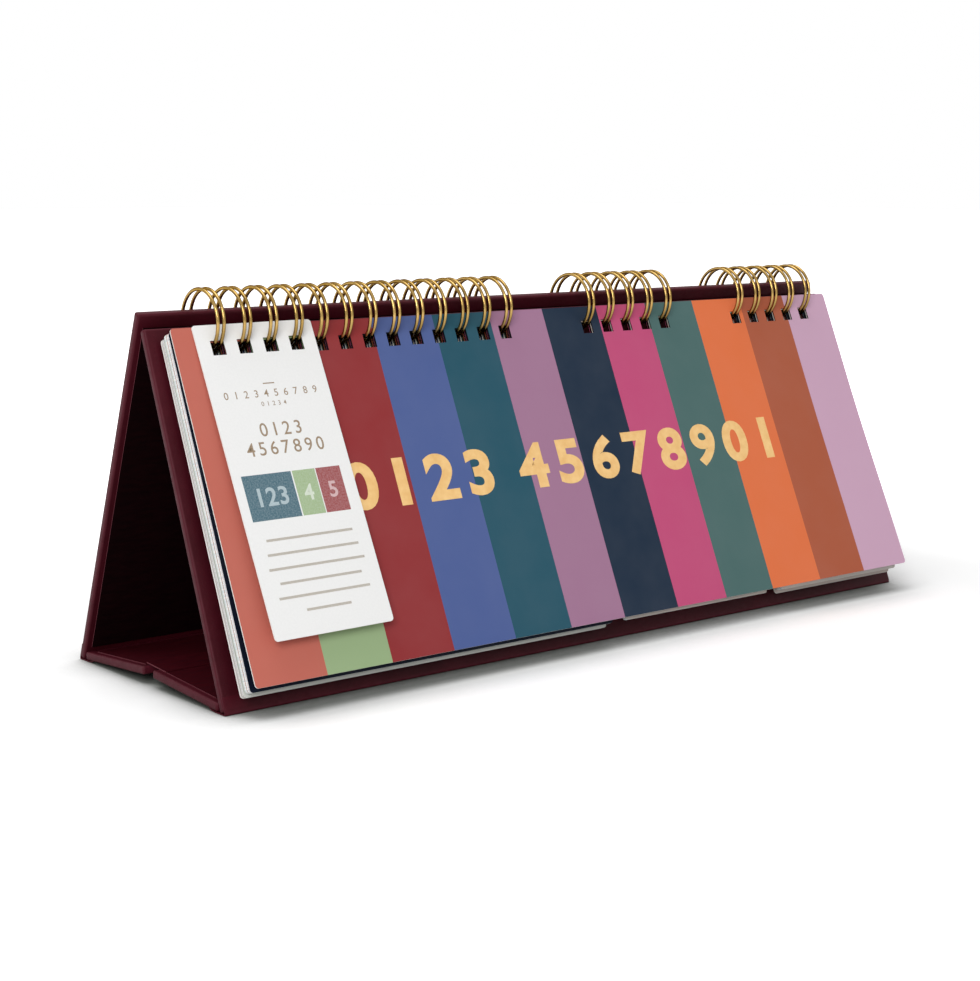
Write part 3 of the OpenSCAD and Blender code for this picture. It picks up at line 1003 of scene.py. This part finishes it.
def print_rows(
    name, rows, place, finish, body, slot, weight=0.0, thick=0.02, wide=1.0, bend=None
):
    """Rows of (text, height, middle x, z of the middle, pitch), in the card's
    own axes. The digits' fronts stand proud of the card by their thickness."""
    bm = bmesh.new()
    for text, high, middle, z, pitch in rows:
        for k, digit in enumerate(text):
            key = (digit, weight)
            if key not in digit_store:
                digit_store[key] = digit_outline(digit, weight)
            before = len(bm.verts)
            bm.from_mesh(digit_store[key])
            bm.verts.ensure_lookup_table()
            x = middle + (k - (len(text) - 1) / 2) * pitch
            for v in bm.verts[before:]:
                across, up, out = v.co
                spot = (x + across * high * wide, z + up * high)
                front = (-thick if out > 0 else 0.0) + (bend(*spot) if bend else 0.0)
                v.co = Vector((spot[0], front, spot[1])) * MM
    bmesh.ops.remove_doubles(bm, verts=bm.verts, dist=1e-7)
    bmesh.ops.recalc_face_normals(bm, faces=bm.faces)
    piece = make_piece(name, bm, place, finish, 30)
    join_frame(piece, body, slot)

print("digits can be printed in rows")

# %% Number the leaves
DIGIT_PITCH = 0.72
MONTH_DIGIT_H, DAY_DIGIT_H = 44, 58
NUMBER_Z = -56
number_inks = {}
for node, (place, body, ground) in leaf_frames.items():
    kind, _, i = node.split("_")
    if ground not in number_inks:
        ink_name = f"ink_on_{ground.lower()}"
        number_inks[ground] = make_ink(ink_name, paler(ground, 0.55))
    number = {"month": i, "tens": str(int(i) - 1), "ones": str(int(i) % 10)}[kind]
    high = MONTH_DIGIT_H if kind == "month" else DAY_DIGIT_H
    print_rows(
        f"{node}_number",
        [(number, high, 0, NUMBER_Z, high * DIGIT_PITCH)],
        place,
        number_inks[ground],
        body,
        f"{kind}_leaf_stock",
        weight=0.03,
    )
print("printed", len(leaf_frames), "numbers in", len(number_inks), "inks")

# %% [markdown]
# ## The striped cover
# The cover is the widest card. It has hung on the wire for a while: its free
# lower right corner has lifted a little. That curl is built into the lattice,
# so the card stays one even sheet and its edge shows the curve.

# %% Hang the cover
COVER_H, COVER_T, COVER_CORNER = 98.8, 0.35, 1.0
COVER_LEAN = 23.6
CARD_GAP = 0.1
STACK_CLEAR = 1.2
STACK = len(MONTH_FACES) * (LEAF_T + CARD_GAP) + STACK_CLEAR
COVER_DEPTH = STACK + COVER_T - FRONT_DEPTH
CURL = 1.5

def cover_curl(x, z):
    """How far the cover stands forward of a flat card, as a negative depth."""
    return -CURL * smooth_step(x, 60, 140) * smooth_step(-z, 30, 105)

holes = hole_row(ALL_PLACES, CARD_HOLE_INSET, HOLE_SIZE)
size = (COVER_W, COVER_H, COVER_T)
bm, _ = punched_sheet(*size, holes, COVER_CORNER, step=5, bend=cover_curl)
cover_top = card_top(COVER_DEPTH, COVER_T, CARD_HOLE_INSET)
cover_place = leaning(COVER_LEAN) @ shift(0, -COVER_DEPTH, -cover_top)
cover = make_piece("cover_card_striped", bm, cover_place, cover_stock)
join_frame(cover, "cover", "cover_stock", "cover_card")
print("cover is", COVER_W, "by", COVER_H, "mm")

# %% Press the foil numerals
FOIL_H = 14
FOIL_Z = -48.9
print_rows(
    "cover_foil_numerals",
    [("0123", FOIL_H, -62.0, FOIL_Z, 14.2), ("45678901", FOIL_H, 31.2, FOIL_Z, 14.6)],
    cover_place,
    gold_foil,
    "cover",
    "cover_stock",
    weight=0.036,
    thick=0.03,
    wide=1.2,
    bend=cover_curl,
)
print("foil numerals pressed,", FOIL_H, "mm high")

# %% [markdown]
# ## The hanging label
# A small white card hangs on the first four loops, a third of a degree askew.
# Its print is generic: a dash, rows of plain numerals, three colour blocks with
# numbers, and ruled lines where small print would be. Ink this thin is still
# built as real, very flat pieces, so that its edges stay sharp from close by.

# %% Hang the label
LABEL_W, LABEL_H, LABEL_T, LABEL_CORNER = 38.6, 88.5, 0.35, 1.0
LABEL_LEAN = COVER_LEAN + 2
LABEL_DEPTH = COVER_DEPTH + CARD_GAP + LABEL_T
LABEL_ASIDE = 0.25
LABEL_ASKEW = 0.3
label_x = (hole_x(0) + hole_x(3)) / 2
holes = hole_row(MONTH_PLACES[:4], CARD_HOLE_INSET, HOLE_SIZE, label_x)
bm, _ = punched_sheet(LABEL_W, LABEL_H, LABEL_T, holes, LABEL_CORNER, step=5)
label_top = card_top(LABEL_DEPTH, LABEL_T, CARD_HOLE_INSET)
label_place = leaning(LABEL_LEAN) @ shift(label_x - LABEL_ASIDE, -LABEL_DEPTH, -label_top)
label_place = label_place @ Matrix.Rotation(math.radians(-LABEL_ASKEW), 4, "Y")
label = make_piece("label_card_white", bm, label_place, label_stock)
join_frame(label, "label", "label_stock", "label_card")
print("label is", LABEL_W, "by", LABEL_H, "mm")

# %% Print the label
def print_blocks(name, blocks, finish, thick=0.015):
    """Flat printed rectangles: (middle x, middle z, width, height)."""
    bm = bmesh.new()
    for x, z, w, h in blocks:
        size = Matrix.Diagonal((w * MM, thick * MM, h * MM, 1))
        bmesh.ops.create_cube(bm, size=1, matrix=shift(x, -thick / 2, z) @ size)
    piece = make_piece(name, bm, label_place, finish, 30)
    join_frame(piece, "label", "label_stock")

bronze = make_ink("ink_bronze", "8B7355", 0.4)
pale_grey = make_ink("ink_pale_grey", "AFA79C")
print_rows(
    "label_numerals",
    [
        ("0123456789", 2.1, 0, -20.6, 3.2),
        ("01234", 1.3, 0, -23.6, 1.8),
        ("0123", 3.8, 0, -30.9, 3.7),
        ("4567890", 3.8, 0, -36.2, 3.75),
    ],
    label_place,
    bronze,
    "label",
    "label_stock",
    weight=0.004,
)
print_blocks("label_dash", [(0, -17.8, 3.7, 0.32)], bronze)
RULES_Z, RULE_PITCH, RULE_H = -61.5, 4.0, 0.7
RULE_WIDTHS = (28, 29.5, 31, 26.5, 29.5, 14.5)
rules = [(0, RULES_Z - RULE_PITCH * k, w, RULE_H) for k, w in enumerate(RULE_WIDTHS)]
print_blocks("label_ruled_lines", rules, pale_grey)
print("label printed with", len(rules), "ruled lines")

# %% Print the label's colour blocks
BLOCK_Z, BLOCK_H = -49.6, 12.8
# Number, ink, middle x, width and height of the digits
BLOCKS = (
    ("123", "2D5A69", -8.6, 15.8, 5.2),
    ("4", SAGE, 3.4, 7.4, 4.6),
    ("5", "8F3A3C", 11.4, 8.0, 4.6),
)
for number, code, x, wide, high in BLOCKS:
    block_ink = make_ink(f"ink_block_{number}", code)
    print_blocks(f"label_block_{number}", [(x, BLOCK_Z, wide, BLOCK_H)], block_ink)
    print_rows(
        f"label_block_number_{number}",
        [(number, high, x, BLOCK_Z, high * DIGIT_PITCH)],
        label_place,
        make_ink(f"ink_number_{number}", paler(code, 0.6)),
        "label",
        "label_stock",
        weight=0.02,
        thick=0.025,
    )
print("printed", len(BLOCKS), "colour blocks")

# %% [markdown]
# ## Finishes for the pieces that stay as drawn
# The grey boards and the lining sheets are flat stock already, so they keep
# their engineering shape and only get their own finish.

# %% Dress the boards' cores and linings
for node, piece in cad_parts.items():
    if node.endswith("_core"):
        finish = greyboard
    elif node.endswith("_lining") or node == "middle_crease":
        finish = base_paper if "base" in node or "crease" in node else lining_paper
    else:
        continue
    piece.data.materials.clear()
    piece.data.materials.append(finish)
print("linings and cores dressed")

# %% [markdown]
# ## The floor
# A plain pale floor lets the colours show as they are. It has to run out into
# the white background without a line, and strong lamps would bleach the card
# before they whitened it. So the floor glows by itself for the camera, a
# little beside the calendar and more further away. In the nooks close under
# the calendar a shadow is painted into its colour and its glow.

# %% Lay the floor
FLOOR_HALF = 6.0
FLOOR_LIFT = 0.2
OUTLINE = (0.136, 0.044, 0)

def shown_ray(tree):
    """1 for rays from the camera, from a mirror or through glass, else 0."""
    kind = add(tree, "ShaderNodeLightPath").outputs
    seen = maths(tree, "MAXIMUM", kind["Is Camera Ray"], kind["Is Glossy Ray"])
    return maths(tree, "MAXIMUM", seen, kind["Is Transmission Ray"])

def vector_maths(tree, operation, *values, result="Vector"):
    """Arithmetic on one or two vectors, which may be plain ones or sockets."""
    inputs = dict(enumerate(values))
    return add(tree, "ShaderNodeVectorMath", inputs, operation=operation).outputs[result]

def make_floor():
    """Pale floor with a painted shadow in the nooks under the calendar, and white far
    away.
    """
    finish, tree, shader = new_finish("floor_white_painted_shadow")
    place = own_place(tree)
    grain = stretch(tree, speckle(tree, place, 40, 3), 0.3, 0.7)
    base = blend_colours(tree, grain, colour("EFEFEF"), colour("F1F1F1"))
    # Painted shadow: ambient occlusion darkens the floor's colour and glow in the nooks
    # under the calendar.
    shade_probe = add(tree, "ShaderNodeAmbientOcclusion", {"Distance": 0.022}, samples=6)
    unshaded_share = stretch(tree, shade_probe.outputs["AO"], 0.35, 0.97)
    base = blend_colours(tree, unshaded_share, colour("6E726D"), base)
    looks = {"Base Color": base, "Roughness": 0.8, "Specular IOR Level": 0.1}
    beyond = vector_maths(tree, "ABSOLUTE", place)
    beyond = vector_maths(tree, "SUBTRACT", beyond, OUTLINE)
    beyond = vector_maths(tree, "MAXIMUM", beyond, (0, 0, 0))
    away = vector_maths(tree, "LENGTH", beyond, result="Value")
    lift = stretch(tree, away, 0.045, 0.3, FLOOR_LIFT, 1.0)
    lift = maths(tree, "MULTIPLY", lift, unshaded_share)
    glow = maths(tree, "MULTIPLY", shown_ray(tree), lift)
    looks |= {"Emission Color": (1, 1, 1, 1), "Emission Strength": glow}
    fill(tree, shader, looks)
    return finish

floor_mesh = bpy.data.meshes.new("floor")
R = FLOOR_HALF
corners = [(-R, -R, 0), (R, -R, 0), (R, R, 0), (-R, R, 0)]
floor_mesh.from_pydata(corners, [], [(0, 1, 2, 3)])
floor_mesh.materials.append(make_floor())
floor = bpy.data.objects.new("floor", floor_mesh)
bpy.context.scene.collection.objects.link(floor)
print("floor laid")

# %% [markdown]
# ## Two lamps and a pale room
# Small lamps would draw hard shadows and hot spots on the wire. Two square
# lamps, most of a metre wide, give soft ones from above and from the left. The
# world looks white to the camera and in reflections, but lights the scene less.

# %% Light the scene
WORLD_LEVEL = 0.38
world = bpy.data.worlds.new("studio")
bpy.context.scene.world = world
world.use_nodes = True
tree = world.node_tree
tree.nodes.clear()
level = stretch(tree, shown_ray(tree), 0, 1, WORLD_LEVEL, 1.0)
backdrop = add(tree, "ShaderNodeBackground", {"Color": (1, 1, 1, 1), "Strength": level})
add(tree, "ShaderNodeOutputWorld", {"Surface": backdrop.outputs[0]})

def softbox(name, spot, aim, size, watts):
    """A square lamp at spot that faces aim, both in metres."""
    lamp = bpy.data.lights.new(name, "AREA")
    lamp.shape = "SQUARE"
    lamp.size = size
    lamp.energy = watts
    holder = bpy.data.objects.new(name, lamp)
    bpy.context.scene.collection.objects.link(holder)
    holder.location = spot
    towards = Vector(aim) - Vector(spot)
    holder.rotation_euler = towards.to_track_quat("-Z", "Y").to_euler()

softbox("lamp_above", (-0.25, 0.25, 1.3), (0, 0, 0.03), 0.9, 8.6)
softbox("lamp_front_left", (-1.1, -1.0, 0.8), (0, 0, 0.05), 0.7, 14.6)
print("lit with two soft lamps and a pale room")

# %% [markdown]
# ## The camera
# A long lens from the front left, a little above the calendar, keeps its
# upright lines nearly parallel while the open end of the tent still shows.

# %% Place the camera
FOCAL_LENGTH = 71.47
eye = Vector((-398.8, -457.1, 140.8)) * MM
ahead = Vector((0.6328, 0.7574, -0.1613)).normalized()
right = Vector((0.768, -0.641, 0.005))
right = (right - ahead * right.dot(ahead)).normalized()
up = right.cross(ahead)
lens = bpy.data.cameras.new("portrait_camera")
lens.sensor_width = 36
lens.lens = FOCAL_LENGTH
camera = bpy.data.objects.new("portrait_camera", lens)
bpy.context.scene.collection.objects.link(camera)
turn = Matrix((right, up, -ahead)).transposed().to_4x4()
camera.matrix_world = Matrix.Translation(eye) @ turn
bpy.context.scene.camera = camera
bpy.context.scene.view_settings.view_transform = "Standard"
print("camera is", round(eye.length, 2), "m away")
